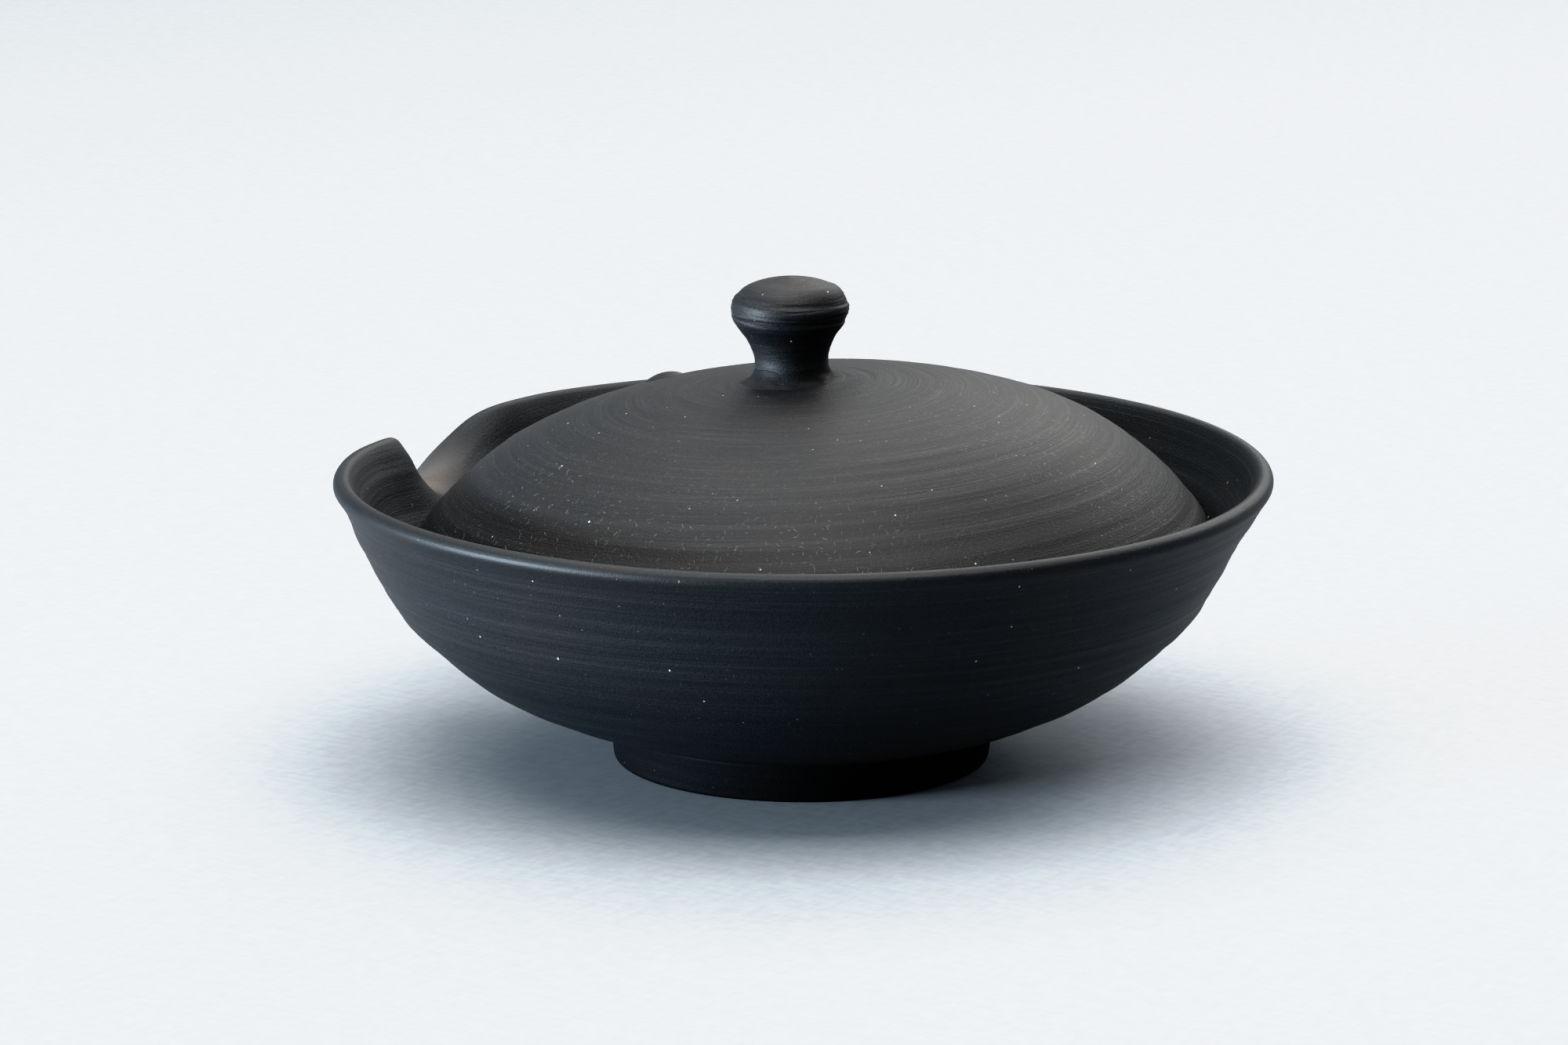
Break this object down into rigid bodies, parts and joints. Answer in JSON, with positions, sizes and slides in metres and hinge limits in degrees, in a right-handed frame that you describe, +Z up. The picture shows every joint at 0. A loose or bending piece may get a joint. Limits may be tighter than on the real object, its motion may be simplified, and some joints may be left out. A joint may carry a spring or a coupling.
{
  "type": "lidded pouring bowl",
  "caption": "Low handle-less tea bowl on a foot ring, with a pinched pouring lip and a loose domed lid that has a mushroom knob.",
  "frame": {"origin": "centre of the foot ring's resting face", "axes": "+Z up along the bowl's turning axis, +X out through the pouring lip, +Y to complete a right-handed frame"},
  "size_m": [0.1231, 0.12, 0.0628],
  "materials": {
    "bowl_clay": "satin, unglazed black clay with turning lines",
    "foot_clay": "satin, unglazed black clay",
    "lid_clay": "satin, unglazed black clay with fine turning lines and pale specks",
    "knob_clay": "satin, unglazed black clay with throwing ridges",
    "collar_slip": "satin, unglazed black slip",
    "bead_clay": "satin, unglazed black clay"
  },
  "bodies": {
    "bowl_body": {"bowl": "bowl_clay", "foot_ring": "foot_clay"},
    "lid_body": {"lid": "lid_clay", "knob": "knob_clay", "knob_collar": "collar_slip", "lid_bead": "bead_clay"}
  },
  "joints": [
    {"name": "lid_lift", "type": "slide", "parent": "bowl_body", "child": "lid_body", "axis": [0, 0, 1], "range_m": [0, 0.06]}
  ]
}
